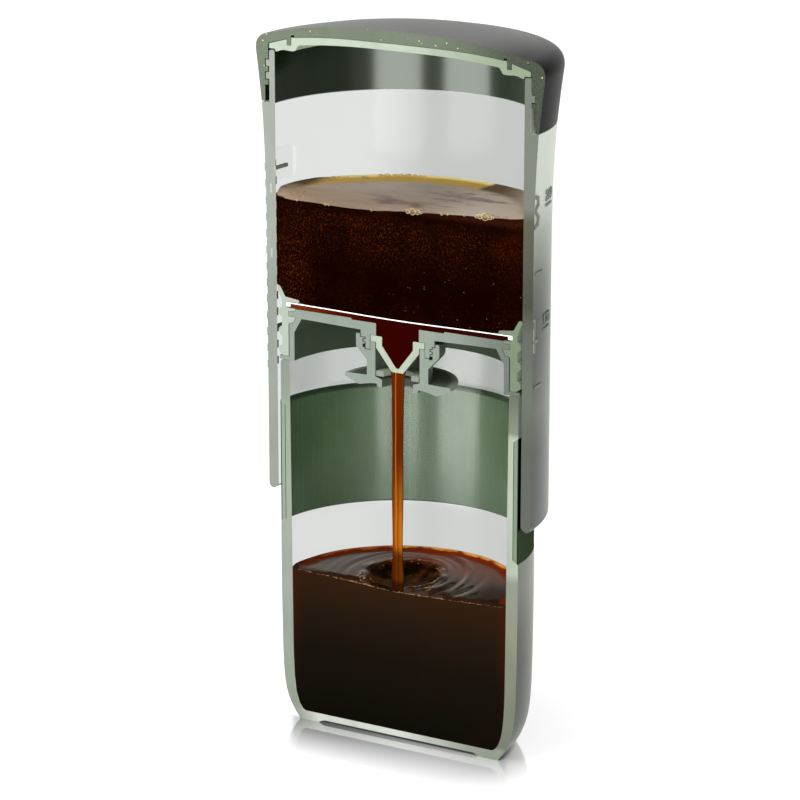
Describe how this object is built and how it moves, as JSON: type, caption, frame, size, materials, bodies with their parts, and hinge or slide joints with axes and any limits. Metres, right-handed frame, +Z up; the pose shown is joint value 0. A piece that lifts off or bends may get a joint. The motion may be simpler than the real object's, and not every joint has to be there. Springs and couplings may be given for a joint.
{
  "type": "cold brew coffee maker",
  "caption": "Press-type cold brew maker shown as a half section: screw-lidded sleeve that slides over a bottle with a filtering piston head and valve.",
  "frame": {"origin": "where the axis of revolution meets the plane that the foot rests on", "axes": "+Z up along the axis of revolution; Y = 0 is the cut plane and the open side faces -Y; +X to the right of the cut face"},
  "size_m": [0.0924, 0.0462, 0.2087],
  "materials": {
    "lid": "satin",
    "silicone": "matte",
    "sleeve": "satin",
    "marks": "satin",
    "inlay": "satin",
    "inlay_dark": "satin",
    "filter": "matte",
    "filter_ring": "satin",
    "piston": "satin",
    "bottle": "satin",
    "band": "matte"
  },
  "bodies": {
    "bottle_body": {"bottle": "bottle", "grip_band": "band"},
    "head_body": {"piston_plate": "piston", "piston_seal": "silicone", "filter_sheet": "filter", "filter_rim": "filter_ring", "outlet_valve": "silicone"},
    "sleeve_body": {"brew_sleeve": "sleeve", "scale_marks": "marks", "fill_mark": "inlay_dark", "fill_window": "inlay", "wall_inserts": "inlay"},
    "lid_disc_body": {"lid_seal_disc": "silicone"},
    "lid_body": {"lid_shell": "lid"},
    "washer_body": {"collar_washer": "silicone"},
    "collar_body": {"valve_collar": "piston"}
  },
  "joints": [
    {"name": "head_lift", "type": "slide", "parent": "bottle_body", "child": "head_body", "axis": [0, 0, 1], "range_m": [0, 0.03]},
    {"name": "press_slide", "type": "slide", "parent": "head_body", "child": "sleeve_body", "axis": [0, 0, 1], "range_m": [-0.065, 0.07]},
    {"name": "lid_lift", "type": "slide", "parent": "sleeve_body", "child": "lid_disc_body", "axis": [0, 0, 1], "range_m": [0, 0.0075]},
    {"name": "lid_turn", "type": "hinge", "parent": "lid_disc_body", "child": "lid_body", "pos_m": [0, 0, 0.195], "axis": [0, 0, 1], "range_deg": [0, 720]},
    {"name": "collar_drop", "type": "slide", "parent": "head_body", "child": "washer_body", "axis": [0, 0, -1], "range_m": [0, 0.0031]},
    {"name": "collar_turn", "type": "hinge", "parent": "washer_body", "child": "collar_body", "pos_m": [0, 0, 0.113], "axis": [0, 0, -1], "range_deg": [0, 720]}
  ],
  "couplings": [
    {"joint": "lid_lift", "follows": "lid_turn", "m_per_rad": 0.00058887},
    {"joint": "collar_drop", "follows": "collar_turn", "m_per_rad": 0.00023873}
  ]
}
